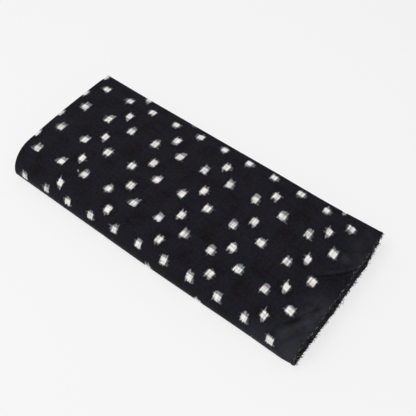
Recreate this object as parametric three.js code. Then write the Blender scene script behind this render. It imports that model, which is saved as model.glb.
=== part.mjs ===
// A folded length of handloom cotton, black with small white double ikat squares.
// The cloth is doubled selvage to selvage. The doubled cloth is then folded back and forth into a flat
// packet, and its outermost layer comes down over the near side of all the others in one smooth wrap.
// Millimetres. +X points to the selvage end, +Y to the far long side, +Z up.
// The origin is the middle of the underside.
import * as THREE from 'three';

// Cloth
const sheetThickness = 1;
const halfWidth = 570; // from the centre fold to the selvage
const innerPlyShort = 2; // the ply on a layer's inner side ends this far behind the other one
const selvageDraw = 2; // the selvage draws back by this much toward each long side
const foldSwell = 4.5; // the centre fold stands out by this much at the middle of the packet

// Packet
const foldEndHeight = 51;
const selvageEndHeight = 38.5;
const packetHalfDepth = 130;
const endLean = -0.06; // the short ends slant along X by this much for each millimetre of Y
const topFall = 0.03; // share of its height by which the stack falls from its middle to its far side
const farRounding = 25; // the stack also thins over this depth at its far edge
const farThinning = 0.07; // by this share of its height
const plyShare = 0.2; // how far a ply lies off the middle of its layer, against the layers' spacing

// Near side. The shoulder is the depth of the wrap's rounding, the brow is its height above the widest
// point, and the toe is the smaller rounding below that.
const shoulderAtFoldEnd = 44;
const shoulderAtSelvage = 22;
const browAtFoldEnd = 38.5;
const browAtSelvage = 30.5;
const toeShare = 0.95; // depth of the toe against its height
const wrapGap = 0.6; // free space between the wrap and the turns inside it

// The packet's two long edges, as distances from the X axis, at stations out from the centre fold
const stations = [
  { out: 0, near: 130.5, far: 124 },
  { out: 95, near: 131, far: 124 },
  { out: 190, near: 131.5, far: 125 },
  { out: 285, near: 132, far: 126 },
  { out: 380, near: 131, far: 127 },
  { out: 475, near: 129.5, far: 127.5 },
  { out: 570, near: 129.5, far: 132 },
];

// The layers of doubled cloth in the order in which the cloth runs through them.
// The first lies on the surface and leads to the wrap, which leads to the top layer. The rest run back and
// forth below the top. level is the place in the stack, slide shifts a layer along X, and back is how far
// the turn or cut end that finishes it stays behind the packet's edge.
const layers = [
  { level: 0, slide: -2, back: 2 },
  { level: 11, slide: -0.5, back: 4 },
  { level: 10, slide: -1.5, back: 0.5 },
  { level: 9, slide: -2.5, back: 2 },
  { level: 8, slide: -1, back: 3 },
  { level: 7, slide: -3, back: 0 },
  { level: 6, slide: -2, back: 1 },
  { level: 5, slide: -1, back: 3.5 },
  { level: 4, slide: -2.5, back: 0.5 },
  { level: 3, slide: -1.5, back: 1 },
  { level: 2, slide: -3, back: 2 },
  { level: 1, slide: -1, back: 5 },
];
const topLevel = 11;

// Facets
const turnSteps = 5;
const browSteps = 8;
const toeSteps = 4;
const foldSteps = 4;
const legStops = [0.35, 0.72, 0.92]; // places along each straight run, from its near end to its far end

const mix = (a, b, t) => a + (b - a) * t;

// The packet's sizes at one station
function packetAt(station) {
  const t = station.out / halfWidth;
  const height = mix(foldEndHeight, selvageEndHeight, t);
  const pitch = (height - sheetThickness) / (topLevel + 2 * plyShare);
  const brow = mix(browAtFoldEnd, browAtSelvage, t);
  return {
    pitch,
    half: plyShare * pitch + sheetThickness / 2,
    brow,
    shoulder: mix(shoulderAtFoldEnd, shoulderAtSelvage, t),
    toe: height - brow,
    toeDepth: (height - brow) * toeShare,
    near: -station.near,
    far: station.far,
  };
}

// Y at which the wrap's inner face is at a given height, with the free space left inside it
function insideWrap(packet, z) {
  const wall = 2 * packet.half + wrapGap;
  const above = z > packet.toe;
  const rise = (above ? packet.brow : packet.toe) - wall;
  const depth = (above ? packet.shoulder : packet.toeDepth) - wall;
  const share = Math.min(Math.abs(z - packet.toe) / rise, 1);
  return packet.near + wall + depth * (1 - Math.sqrt(1 - share * share));
}

// Centre of the nearmost half-round turn that fits inside the wrap
function nearTurnCentre(packet, middle, radius) {
  const reach = radius + packet.half;
  let centre = packet.near;
  for (let i = 0; i <= turnSteps; i += 1) {
    const angle = Math.PI * (i / turnSteps - 0.5);
    centre = Math.max(centre, insideWrap(packet, middle + reach * Math.sin(angle)) + reach * Math.cos(angle));
  }
  return centre;
}

// Half-round turn down from one layer to the next
function turnPoints(packet, upper, lower, towardFar) {
  const radius = packet.pitch / 2;
  const middle = packet.half + ((upper.level + lower.level) / 2) * packet.pitch;
  const side = towardFar ? 1 : -1;
  const centre = towardFar
    ? packet.far - upper.back - radius - packet.half
    : nearTurnCentre(packet, middle, radius) + upper.back;
  const points = [];
  for (let i = 0; i <= turnSteps; i += 1) {
    const angle = Math.PI * (0.5 - i / turnSteps);
    points.push({ y: centre + side * radius * Math.cos(angle), z: middle + radius * Math.sin(angle) });
  }
  return points;
}

// A quarter of the wrap's middle line, between two angles measured up from its widest point
function wrapQuarter(packet, depth, rise, from, to, steps) {
  const points = [];
  for (let i = 0; i <= steps; i += 1) {
    const angle = mix(from, to, i / steps);
    points.push({
      y: packet.near + depth - (depth - packet.half) * Math.cos(angle),
      z: packet.toe + (rise - packet.half) * Math.sin(angle),
    });
  }
  return points;
}

// The wrap, from the layer on the surface up to the top layer
function wrapPoints(packet) {
  const toe = wrapQuarter(packet, packet.toeDepth, packet.toe, -Math.PI / 2, 0, toeSteps);
  const brow = wrapQuarter(packet, packet.shoulder, packet.brow, 0, Math.PI / 2, browSteps);
  return [...toe, ...brow.slice(1)];
}

// The straight run of one layer, without the ends it shares with its turns
function legPoints(packet, layer, start, end) {
  const z = packet.half + layer.level * packet.pitch;
  const towardFar = end > start;
  const stops = towardFar ? legStops : legStops.map((stop) => 1 - stop).reverse();
  return stops.map((stop) => ({ y: mix(start, end, stop), z }));
}

// Height of the stack at a depth, against its height at the middle
function stackShare(packet, y) {
  const edge = Math.max((y - packet.far + farRounding) / farRounding, 0);
  return 1 - topFall * (y / packetHalfDepth) - farThinning * edge * edge;
}

// Middle line of the doubled cloth at one station, from the cut end on the surface to the one above it.
// Each point carries its layer's slide and a normal, drawn out so that the cloth keeps its thickness at bends.
function foldPath(packet) {
  const turns = layers.slice(1).map((next, i) => (i === 0
    ? wrapPoints(packet)
    : turnPoints(packet, layers[i], next, i % 2 === 1)));
  const path = [];
  layers.forEach((layer, i) => {
    const cut = { y: packet.far - layer.back, z: packet.half + layer.level * packet.pitch };
    const before = turns[i - 1]?.at(-1) ?? cut;
    const after = turns[i]?.[0] ?? cut;
    const slide = layer.slide;
    if (before === cut) {
      path.push({ ...cut, slide });
    }
    legPoints(packet, layer, before.y, after.y).forEach((point) => path.push({ ...point, slide }));
    if (after === cut) {
      path.push({ ...cut, slide });
    } else {
      const nextSlide = layers[i + 1].slide;
      const steps = turns[i].length - 1;
      turns[i].forEach((point, k) => path.push({ ...point, slide: mix(slide, nextSlide, k / steps) }));
    }
  });
  path.forEach((point) => {
    point.z = packet.half + (point.z - packet.half) * stackShare(packet, point.y);
  });
  const directions = path.slice(1).map((point, i) => (
    new THREE.Vector2(point.y - path[i].y, point.z - path[i].z).normalize()));
  return path.map((point, i) => {
    const into = directions[Math.max(i - 1, 0)];
    const out = directions[Math.min(i, directions.length - 1)];
    const stretch = 1 + into.dot(out);
    return { ...point, ny: -(into.y + out.y) / stretch, nz: (into.x + out.x) / stretch };
  });
}

// One face of the doubled cloth across the path: in from the selvage of the inner ply, round the centre fold
// and out to the selvage of the outer ply. side is 1 for the outer face of the plies and -1 for the inner.
function faceRow(packets, paths, index, side) {
  const row = [];
  const bow = (paths.at(-1)[index].y / packetHalfDepth) ** 2;
  const fold = -foldSwell * (1 - bow);
  const edge = halfWidth - selvageDraw * bow;
  const addPoint = (s, out, offset, end) => {
    const point = paths[s][index];
    const y = point.y + point.ny * offset;
    const x = mix(fold, end, out / halfWidth) - halfWidth / 2 + point.slide + endLean * y;
    row.push(new THREE.Vector3(x, y, point.z + point.nz * offset));
  };
  const offsetAt = (s) => plyShare * packets[s].pitch + side * sheetThickness / 2;
  const foldRadius = packets[0].half;
  const outOf = (s) => Math.max(stations[s].out, foldRadius);
  for (let s = stations.length - 1; s >= 0; s -= 1) {
    addPoint(s, outOf(s), -offsetAt(s), edge - innerPlyShort);
  }
  for (let k = 1; k < foldSteps; k += 1) {
    const angle = Math.PI * (k / foldSteps - 0.5);
    addPoint(0, foldRadius - offsetAt(0) * Math.cos(angle), offsetAt(0) * Math.sin(angle), edge);
  }
  for (let s = 0; s < stations.length; s += 1) {
    addPoint(s, outOf(s), offsetAt(s), edge);
  }
  return row;
}

// Closed mesh of the whole sheet
function foldedCloth() {
  const packets = stations.map(packetAt);
  const paths = packets.map(foldPath);
  const rows = paths[0].length;
  const outer = paths[0].map((point, i) => faceRow(packets, paths, i, 1));
  const inner = paths[0].map((point, i) => faceRow(packets, paths, i, -1));
  const width = outer[0].length;
  const outerAt = (i, k) => i * width + k;
  const innerAt = (i, k) => (rows + i) * width + k;
  const faces = [];
  const addQuad = (a, b, c, d) => faces.push(a, b, c, a, c, d);
  for (let i = 0; i < rows - 1; i += 1) {
    for (let k = 0; k < width - 1; k += 1) {
      addQuad(outerAt(i, k), outerAt(i, k + 1), outerAt(i + 1, k + 1), outerAt(i + 1, k));
      addQuad(innerAt(i, k), innerAt(i + 1, k), innerAt(i + 1, k + 1), innerAt(i, k + 1));
    }
  }
  // The two selvages
  const lastColumn = width - 1;
  for (let i = 0; i < rows - 1; i += 1) {
    addQuad(outerAt(i, 0), outerAt(i + 1, 0), innerAt(i + 1, 0), innerAt(i, 0));
    addQuad(outerAt(i, lastColumn), innerAt(i, lastColumn), innerAt(i + 1, lastColumn), outerAt(i + 1, lastColumn));
  }
  // The two cut ends
  const lastRow = rows - 1;
  for (let k = 0; k < width - 1; k += 1) {
    addQuad(outerAt(0, k), innerAt(0, k), innerAt(0, k + 1), outerAt(0, k + 1));
    addQuad(outerAt(lastRow, k), outerAt(lastRow, k + 1), innerAt(lastRow, k + 1), innerAt(lastRow, k));
  }
  const geometry = new THREE.BufferGeometry();
  geometry.setAttribute('position', new THREE.Float32BufferAttribute(
    [...outer.flat(), ...inner.flat()].flatMap((point) => point.toArray()), 3));
  geometry.setIndex(faces);
  geometry.computeVertexNormals();
  return geometry;
}

const cloth = new THREE.Mesh(
  foldedCloth(),
  new THREE.MeshStandardMaterial({ color: '#1c1c22', roughness: 0.9, metalness: 0 }),
);
cloth.name = 'folded_cloth';

// Stand the packet with the middle of its underside on the origin
cloth.geometry.computeBoundingBox();
const middle = cloth.geometry.boundingBox.getCenter(new THREE.Vector3());
cloth.geometry.translate(-middle.x, -middle.y, -cloth.geometry.boundingBox.min.z);

const group = new THREE.Group();
group.add(cloth);
export default group;
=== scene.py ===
# %% [markdown]
# A folded length of double ikat
#
# The object is one length of black handloom cotton with small white squares. It is doubled selvage to
# selvage, and the doubled cloth is folded back and forth into a flat, wedge-shaped packet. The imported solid
# gives the packet's true folds and size. This script lays a finer sheet over the same folds, and gives it
# its creases, its resist-dyed yarns and its loose yarn ends. All sizes are in millimetres until a mesh is
# made, and Blender works in metres.

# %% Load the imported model
import math
import random

import bpy
import numpy as np
from mathutils import Matrix, Vector


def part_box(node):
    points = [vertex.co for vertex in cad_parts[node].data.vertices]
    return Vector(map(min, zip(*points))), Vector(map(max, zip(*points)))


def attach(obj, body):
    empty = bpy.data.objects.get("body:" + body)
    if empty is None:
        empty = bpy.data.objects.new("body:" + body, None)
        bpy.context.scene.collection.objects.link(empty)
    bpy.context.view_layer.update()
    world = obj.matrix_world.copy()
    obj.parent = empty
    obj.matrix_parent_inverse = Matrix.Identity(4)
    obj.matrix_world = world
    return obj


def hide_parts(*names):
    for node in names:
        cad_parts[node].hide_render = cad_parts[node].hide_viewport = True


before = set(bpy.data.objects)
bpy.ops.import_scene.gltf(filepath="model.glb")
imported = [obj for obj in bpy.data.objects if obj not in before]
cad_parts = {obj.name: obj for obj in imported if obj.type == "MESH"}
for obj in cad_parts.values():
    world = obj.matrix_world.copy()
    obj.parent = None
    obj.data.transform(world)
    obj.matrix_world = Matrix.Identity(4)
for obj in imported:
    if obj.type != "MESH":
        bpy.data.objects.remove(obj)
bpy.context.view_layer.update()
MM = 0.001

low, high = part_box("folded_cloth")
print("packet in mm:", [round((b - a) / MM, 1) for a, b in zip(low, high)])

# %% [markdown]
# ## Camera
#
# The packet is seen from its selvage end and its wrapped side, from half way up. A camera can be placed by
# eye or worked out from what it shows. Here the squares lie in straight rows at even steps, so their places
# in the picture give the lens and the place of the camera, and only those few numbers are kept.

# %% Camera
CAMERA_AZIMUTH = 39.65  # degrees round from looking along +Y
CAMERA_ELEVATION = 50.35
CAMERA_ROLL = -0.53
CAMERA_DISTANCE = 1150
CAMERA_AIM = Vector((42.4, -6.3, 41.4))
LENS_PIXELS = 740  # focal length, counted in the picture's pixels
PICTURE_PIXELS = 416
SENSOR = 36


def add_object(name, data):
    """Puts a mesh, a lamp or the camera in the scene."""
    thing = bpy.data.objects.new(name, data)
    bpy.context.collection.objects.link(thing)
    return thing


def make_camera():
    azimuth = math.radians(CAMERA_AZIMUTH)
    elevation = math.radians(CAMERA_ELEVATION)
    back = Vector((
        math.sin(azimuth) * math.cos(elevation),
        -math.cos(azimuth) * math.cos(elevation),
        math.sin(elevation),
    ))
    data = bpy.data.cameras.new("camera")
    data.sensor_width = SENSOR
    data.lens = SENSOR * (LENS_PIXELS / PICTURE_PIXELS)
    camera = add_object("camera", data)
    camera.location = (CAMERA_AIM + back * CAMERA_DISTANCE) * MM
    turn = back.to_track_quat("Z", "Y").to_matrix() @ Matrix.Rotation(math.radians(CAMERA_ROLL), 3, "Z")
    camera.rotation_euler = turn.to_euler()
    bpy.context.scene.camera = camera
    return camera


camera = make_camera()
print("camera at", [round(c, 4) for c in camera.location])

# %% [markdown]
# ## The folds
#
# Real cloth is folded by hand, and a simulation of twelve folded layers would never land on the folds of
# the solid. So the sheet is drawn where the folds are: a line runs back and forth through the layers at
# each place across the width, and the two plies lie on either side of it. These are the sizes that the
# solid was made from.

# %% Sizes of the packet
SHEET = 1.0  # thickness of a ply
HALF_WIDTH = 570  # from the centre fold to the selvage
INNER_PLY_SHORT = 2
SELVAGE_DRAW = 2
SELVAGE_LOOSE = 25  # the selvage waves within this distance of its edge
# Waves of a selvage along the warp. The shift sets one ply off from the other.
SELVAGE_WAVES = [
    {"size": 0.8, "length": 13.1, "shift": 1.7},
    {"size": 0.7, "length": 5.3, "shift": 4.93},
    {"size": 0.5, "length": 2.3, "shift": 1.7},
]
FOLD_LEAN = -0.018  # the centre fold slants this much more than the selvage
CORNER_DRAW = 3  # the wrap draws in by this at the selvage's corner
FAR_CORNER_BACK = 5  # the lower layers draw back by this at the selvage's far corner
FAR_CORNER_FROM = 95  # beyond this along Y
LOW_SHARE = 0.9  # and below this share of the height
FOLD_SWELL = 4.5
FOLD_END_HEIGHT = 51
SELVAGE_END_HEIGHT = 38.5
HALF_DEPTH = 130
END_LEAN = -0.06
TOP_FALL = 0.03
FAR_ROUNDING = 25
FAR_THINNING = 0.07
PLY_SHARE = 0.2
SHOULDER = (44, 22)  # at the centre fold and at the selvage
BROW = (38.5, 30.5)
TOE_SHARE = 0.95
WRAP_GAP = 0.6
TOP_LEVEL = 11
CENTRING = (2.89, 0.045)  # the solid was moved by this to stand on the origin

# Across the cloth, from the centre fold to the selvage: the packet's near and far edges, and how far the
# rows of squares sway toward the near side there.
STATIONS = [
    {"out": 0, "near": 130.5, "far": 124, "sway": 20},
    {"out": 95, "near": 131, "far": 124, "sway": 13},
    {"out": 190, "near": 131.5, "far": 125, "sway": 5.5},
    {"out": 285, "near": 132, "far": 126, "sway": -0.5},
    {"out": 380, "near": 131, "far": 127, "sway": -3},
    {"out": 475, "near": 129.5, "far": 127.5, "sway": 0},
    {"out": 570, "near": 129.5, "far": 132, "sway": 9.5},
]

# The layers in the order in which the cloth runs through them
LAYERS = [
    {"level": 0, "slide": -2, "back": 2},
    {"level": 11, "slide": -0.5, "back": 4},
    {"level": 10, "slide": -1.5, "back": 0.5},
    {"level": 9, "slide": -2.5, "back": 2},
    {"level": 8, "slide": -1, "back": 3},
    {"level": 7, "slide": -3, "back": 0},
    {"level": 6, "slide": -2, "back": 1},
    {"level": 5, "slide": -1, "back": 3.5},
    {"level": 4, "slide": -2.5, "back": 0.5},
    {"level": 3, "slide": -1.5, "back": 1},
    {"level": 2, "slide": -3, "back": 2},
    {"level": 1, "slide": -1, "back": 5},
]


def mix(a, b, t):
    return a + (b - a) * t


def station_value(name, out):
    """A value from the stations' table at any place across, on a smooth curve through the stations."""
    step = STATIONS[1]["out"] - STATIONS[0]["out"]
    place = min(max(out / step, 0), len(STATIONS) - 1 - 1e-6)
    i = int(place)
    t = place - i
    values = [STATIONS[min(max(i + k, 0), len(STATIONS) - 1)][name] for k in (-1, 0, 1, 2)]
    a, b, c, d = values
    return b + 0.5 * t * (c - a + t * (2 * a - 5 * b + 4 * c - d + t * (3 * (b - c) + d - a)))


def selvage_wave(along, ply):
    """How far a ply's selvage stands out or back, at distances along the warp."""
    total = 0.0
    for wave in SELVAGE_WAVES:
        total = total + wave["size"] * np.sin(along / wave["length"] + wave["shift"] * ply)
    return total


class Packet:
    """The packet's sizes at one place across the cloth."""

    def __init__(self, out):
        t = out / HALF_WIDTH
        self.out = out
        self.height = mix(FOLD_END_HEIGHT, SELVAGE_END_HEIGHT, t)
        self.pitch = (self.height - SHEET) / (TOP_LEVEL + 2 * PLY_SHARE)
        self.half = PLY_SHARE * self.pitch + SHEET / 2
        self.brow = mix(*BROW, t)
        self.shoulder = mix(*SHOULDER, t)
        self.toe = self.height - self.brow
        self.toe_depth = self.toe * TOE_SHARE
        self.loose = max(out - HALF_WIDTH + SELVAGE_LOOSE, 0) / SELVAGE_LOOSE
        self.near = -station_value("near", out) + CORNER_DRAW * self.loose**2
        self.far = station_value("far", out)

    def level_height(self, level):
        return self.half + level * self.pitch

    def inside_wrap(self, z):
        wall = 2 * self.half + WRAP_GAP
        above = z > self.toe
        rise = (self.brow if above else self.toe) - wall
        depth = (self.shoulder if above else self.toe_depth) - wall
        share = min(abs(z - self.toe) / rise, 1)
        return self.near + wall + depth * (1 - math.sqrt(1 - share * share))

    def near_turn_centre(self, middle, radius, steps=5):
        reach = radius + self.half
        angles = [math.pi * (i / steps - 0.5) for i in range(steps + 1)]
        return max(self.inside_wrap(middle + reach * math.sin(a)) + reach * math.cos(a) for a in angles)

    def stack_share(self, y):
        edge = max((y - self.far + FAR_ROUNDING) / FAR_ROUNDING, 0)
        return 1 - TOP_FALL * (y / HALF_DEPTH) - FAR_THINNING * edge * edge


print("layer spacing in mm:", [round(Packet(out).pitch, 2) for out in (0, HALF_WIDTH)])

# %% [markdown]
# ## Creases and sags
#
# A stack of soft cloth is never quite flat. Its top sags between the folds below, and a few creases run in
# from the selvage, where the hand held it. They could be noise, but noise puts them anywhere. So each one
# is listed, as a soft trough or ridge with its own length, width and depth, and the whole stack
# gives way with it, so that no layer passes through the next.

# %% Creases, listed one by one
# Each runs from (out, y) to (out, y) on the top of the packet, and bows sideways by its bend. Depth is
# negative for a trough.
CREASES = [
    {"start": (525, -8), "end": (566, 36), "width": 2.8, "depth": -1.6, "bend": 1.5},
    {"start": (531, -14), "end": (553, 8), "width": 2.4, "depth": -0.8, "bend": -1},
    {"start": (540, 12), "end": (568, 44), "width": 3.6, "depth": 0.6, "bend": 1.5},
    {"start": (556, 34), "end": (568, 12), "width": 3.0, "depth": -0.5, "bend": 1},
    {"start": (529, -104), "end": (556, -52), "width": 3.6, "depth": -1.4, "bend": 2},
    {"start": (541, -104), "end": (566, -55), "width": 6.0, "depth": 0.8, "bend": 2},
    {"start": (546, -118), "end": (569, -84), "width": 4.0, "depth": -0.7, "bend": -1},
    {"start": (505, -60), "end": (530, -30), "width": 5.0, "depth": -0.5, "bend": 2},
    {"start": (500, 60), "end": (528, 84), "width": 4.0, "depth": -0.4, "bend": -2},
    {"start": (148, 82), "end": (178, 101), "width": 3.5, "depth": -0.7, "bend": 1},
    {"start": (300, -92), "end": (350, -76), "width": 4.0, "depth": -0.6, "bend": -2},
    {"start": (60, 20), "end": (175, 60), "width": 14, "depth": -0.5, "bend": 6},
    {"start": (210, -40), "end": (330, -10), "width": 16, "depth": 0.5, "bend": 5},
    {"start": (380, 40), "end": (470, 20), "width": 13, "depth": -0.6, "bend": -5},
    {"start": (400, -60), "end": (500, -85), "width": 15, "depth": 0.6, "bend": 4},
]

BROAD = 8  # a crease wider than this gets no painted shade or paler ridge

# Wide swells of the whole top: centre, radii and height
SWELLS = [
    {"at": (110, -30), "radii": (60, 60), "height": 0.5},
    {"at": (210, 40), "radii": (90, 60), "height": -0.8},
    {"at": (330, -50), "radii": (90, 50), "height": -0.7},
    {"at": (430, 60), "radii": (80, 50), "height": 0.8},
    {"at": (560, -95), "radii": (50, 45), "height": -1.6},
    {"at": (545, 60), "radii": (40, 50), "height": -0.9},
    {"at": (60, 60), "radii": (50, 40), "height": -0.5},
]


def swell(out, y):
    """How far the wide swells lift the top."""
    total = 0.0
    for place in SWELLS:
        across = (out - place["at"][0]) / place["radii"][0]
        along = (y - place["at"][1]) / place["radii"][1]
        total += place["height"] * math.exp(-0.5 * (across * across + along * along))
    return total


def crease(out, y, narrow_only=False):
    """How far the creases lift the top."""
    total = 0.0
    for line in CREASES:
        if narrow_only and line["width"] > BROAD:
            continue
        (ax, ay), (bx, by) = line["start"], line["end"]
        dx, dy = bx - ax, by - ay
        length = math.hypot(dx, dy)
        run = ((out - ax) * dx + (y - ay) * dy) / length
        side = ((out - ax) * dy - (y - ay) * dx) / length
        bend = line["bend"] * math.sin(math.pi * min(max(run / length, 0), 1))
        beyond = max(-run, run - length, 0) / (2 * line["width"])
        total += line["depth"] * math.exp(-0.5 * ((side - bend) / (0.5 * line["width"])) ** 2 - beyond**2)
    return total


print("creases at three places:", [round(crease(*place), 2) for place in ((545, 15), (550, -80), (300, 0))])

# %% [markdown]
# ## The sheet
#
# The middle line of the doubled cloth is followed through all the layers, at many places across the width.
# The top layer and the wrap get close steps, because they show, and the layers inside get few. A normal at
# each point then sets off the two plies and their two faces, which closes the sheet into one skin. Each
# point also keeps where it lies on the flat cloth, as a UV in metres: across from the centre fold, and
# along the warp. The dye follows those, so that it runs over the folds as the yarns do.

# %% The line through the layers
TURN_STEPS = 6
INNER_TURN_STEPS = 5
BROW_STEPS = 26
TOE_STEPS = 8
TOP_STEPS = 100
INNER_LEG_STEPS = 5
WRAP_FIRST = INNER_LEG_STEPS + TOE_STEPS  # where the wrap's upper half and the top start on the line
TOP_FIRST = WRAP_FIRST + BROW_STEPS
TOP_LAST = TOP_FIRST + TOP_STEPS
COARSE_STEP = 7  # across the cloth
FINE_STEP = 1.8
CREASED_FROM = 480


def turn_line(packet, upper, lower, toward_far, steps):
    radius = packet.pitch / 2
    middle = packet.half + (upper["level"] + lower["level"]) / 2 * packet.pitch
    side = 1 if toward_far else -1
    if toward_far:
        centre = packet.far - upper["back"] - radius - packet.half
    else:
        centre = packet.near_turn_centre(middle, radius) + upper["back"]
    angles = [math.pi * (0.5 - i / steps) for i in range(steps + 1)]
    return [(centre + side * radius * math.cos(a), middle + radius * math.sin(a)) for a in angles]


def wrap_line(packet):
    points = []
    for depth, rise, first, last, steps in (
        (packet.toe_depth, packet.toe, -math.pi / 2, 0, TOE_STEPS),
        (packet.shoulder, packet.brow, 0, math.pi / 2, BROW_STEPS),
    ):
        for i in range(steps + 1):
            angle = mix(first, last, i / steps)
            y = packet.near + depth - (depth - packet.half) * math.cos(angle)
            z = packet.toe + (rise - packet.half) * math.sin(angle)
            points.append((y, z))
    del points[TOE_STEPS + 1]
    return points


def fold_line(packet):
    """Rows of (y, z, slide, crease) for the middle line of the doubled cloth, between its cut ends."""
    turns = [wrap_line(packet)]
    for i in range(1, len(LAYERS) - 1):
        steps = TURN_STEPS if i % 2 else INNER_TURN_STEPS
        turns.append(turn_line(packet, LAYERS[i], LAYERS[i + 1], i % 2 == 1, steps))
    rows = []
    for i, layer in enumerate(LAYERS):
        cut = (packet.far - layer["back"], packet.level_height(layer["level"]))
        before = turns[i - 1][-1] if i else cut
        after = turns[i][0] if i < len(turns) else cut
        steps = TOP_STEPS if layer["level"] == TOP_LEVEL else INNER_LEG_STEPS
        first = 0 if before is cut else 1
        last = steps if after is cut else steps - 1
        for k in range(first, last + 1):
            rows.append((mix(before[0], after[0], k / steps), cut[1], layer["slide"]))
        if after is not cut:
            slides = np.linspace(layer["slide"], LAYERS[i + 1]["slide"], len(turns[i]))
            rows += [(y, z, slide) for (y, z), slide in zip(turns[i], slides)]
    line = np.array([row + (0.0,) for row in rows])
    for i, row in enumerate(line):
        give = (crease(packet.out, row[0]) + swell(packet.out, row[0])) / packet.height
        row[1] = packet.half + (row[1] - packet.half) * (packet.stack_share(row[0]) + give)
        if WRAP_FIRST < i < TOP_LAST:
            row[3] = crease(packet.out, row[0], narrow_only=True)
    return line


def miter_normals(line):
    """Normals of a line, drawn out at bends so that a sheet set off from it keeps its thickness."""
    steps = np.diff(line[:, :2], axis=0)
    steps /= np.linalg.norm(steps, axis=1)[:, None]
    into = np.vstack([steps[:1], steps])
    out = np.vstack([steps, steps[-1:]])
    stretch = 1 + np.sum(into * out, axis=1)
    return np.column_stack([-(into + out)[:, 1] / stretch, (into + out)[:, 0] / stretch])


def places_across():
    """Places across the cloth, closer toward the selvage, where the creases are."""
    plain = np.arange(COARSE_STEP, CREASED_FROM, COARSE_STEP)
    fine = np.arange(CREASED_FROM, HALF_WIDTH + FINE_STEP / 2, FINE_STEP)
    return np.concatenate([plain, fine])


WIDE = places_across()
NARROW = np.array([20, 120, 220, 320, 420, 500, 540, 560, HALF_WIDTH], dtype=float)
FOLD_STEPS = 8
FOLD_RADIUS = Packet(0).half  # from the middle of the doubled cloth to its outer face at the centre fold
print(len(WIDE), "places across the outer ply,", len(NARROW), "across the inner one")

# %% The chart of ties
# Where the maker tied the yarns off before dyeing, read across the cloth and along it. The A squares stand
# in every column, the B squares between every second pair of columns and half way between the rows.
# Yarns slip on the loom, and each one slips as a whole. So in a column all the warps' white lies off the
# same way (warp, in mm toward the near side), and more so across the column where it leans (skew). In a row
# the wefts' white does the same (weft, in mm toward the selvage). The A1 row was beaten closer, so its two
# sides are charted as well.
COLUMN_STEP = 50
ROW_STEP = 59
B_ROW_SHIFT = 33
CHART_ACROSS = [
    {"tie": "B0", "even": 0, "read": 0, "warp": 0.5, "skew": -0.4, "weft": 0},
    {"tie": "A1", "even": 25, "read": 25.6, "warp": 0, "skew": 0.25, "weft": -1.8},
    {"tie": "A2", "even": 75, "read": 78.6, "warp": 0, "skew": -0.1, "weft": -2.3},
    {"tie": "B1", "even": 100, "read": 101.1, "warp": 0.5, "skew": 0.9, "weft": -0.5},
    {"tie": "A3", "even": 125, "read": 127, "warp": 0.3, "skew": 0, "weft": 0},
    {"tie": "A4", "even": 175, "read": 177.4, "warp": 1.8, "skew": 0, "weft": 0.6},
    {"tie": "B2", "even": 200, "read": 202.9, "warp": 1.5, "skew": 0.1, "weft": -2},
    {"tie": "A5", "even": 225, "read": 229.1, "warp": 0, "skew": -0.2, "weft": -2},
    {"tie": "A6", "even": 275, "read": 278, "warp": 0, "skew": 0.05, "weft": -1},
    {"tie": "B3", "even": 300, "read": 302.1, "warp": 0.5, "skew": 0.1, "weft": 0.8},
    {"tie": "A7", "even": 325, "read": 327.7, "warp": 0.3, "skew": 0.15, "weft": 2},
    {"tie": "A8", "even": 375, "read": 376.4, "warp": 0, "skew": 0, "weft": 3},
    {"tie": "B4", "even": 400, "read": 400.2, "warp": 0, "skew": 0, "weft": -0.5},
    {"tie": "A9", "even": 425, "read": 429.7, "warp": -0.3, "skew": 0, "weft": 1.5},
    {"tie": "A10", "even": 475, "read": 478.9, "warp": 0, "skew": 0, "weft": 1.7},
    {"tie": "B5", "even": 500, "read": 501.8, "warp": 0.8, "skew": 0.8, "weft": -0.5},
    {"tie": "A11", "even": 525, "read": 526.7, "warp": 2, "skew": 0, "weft": 0.2},
]
CHART_ALONG = [
    {"tie": "A1 far side", "even": -9, "read": -113.5, "warp": 0.5, "skew": 0, "weft": 0},
    {"tie": "A1", "even": 0, "read": -106.5, "warp": 0.5, "skew": 0, "weft": 0},
    {"tie": "A1 near side", "even": 9, "read": -99.5, "warp": 0.5, "skew": 0, "weft": 0},
    {"tie": "B1", "even": 33, "read": -76.5, "warp": 0, "skew": -0.1, "weft": 0.5},
    {"tie": "A2", "even": 59, "read": -48.7, "warp": -3, "skew": 0.25, "weft": 0.3},
    {"tie": "B2", "even": 92, "read": -13.3, "warp": 0, "skew": 0, "weft": 0},
    {"tie": "A3", "even": 118, "read": 11.7, "warp": -1.2, "skew": 0, "weft": -0.3},
    {"tie": "B3", "even": 151, "read": 45.8, "warp": 0, "skew": 0.1, "weft": 0},
    {"tie": "A4", "even": 177, "read": 72.5, "warp": -2.6, "skew": -0.1, "weft": 0},
    {"tie": "B4", "even": 210, "read": 103.1, "warp": 0.5, "skew": -0.15, "weft": 0},
    {"tie": "A5", "even": 236, "read": 127.4, "warp": -2.4, "skew": 0.2, "weft": 0.3},
    {"tie": "B5", "even": 269, "read": 157.5, "warp": -1, "skew": 0, "weft": 0},
]


def even_out(chart, value):
    """Carries a place on the cloth to where it would be if every tie stood at an even step."""
    read = np.array([row["read"] for row in chart], dtype=float)
    even = np.array([row["even"] for row in chart], dtype=float)
    value = np.asarray(value, dtype=float)
    inside = np.interp(value, read, even)
    inside = np.where(value < read[0], even[0] + value - read[0], inside)
    return np.where(value > read[-1], even[-1] + value - read[-1], inside)


def chart_slip(chart, place, name, skewed):
    """The slip at a place, from the tie that is nearest to it."""
    even = np.array([row["even"] for row in chart], dtype=float)
    nearest = np.argmin(np.abs(np.subtract.outer(np.atleast_1d(place), even)), axis=1)
    slip = np.array([row[name] for row in chart])[nearest]
    if skewed:
        slip = slip + np.array([row["skew"] for row in chart])[nearest] * (place - even[nearest])
    return slip


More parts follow.
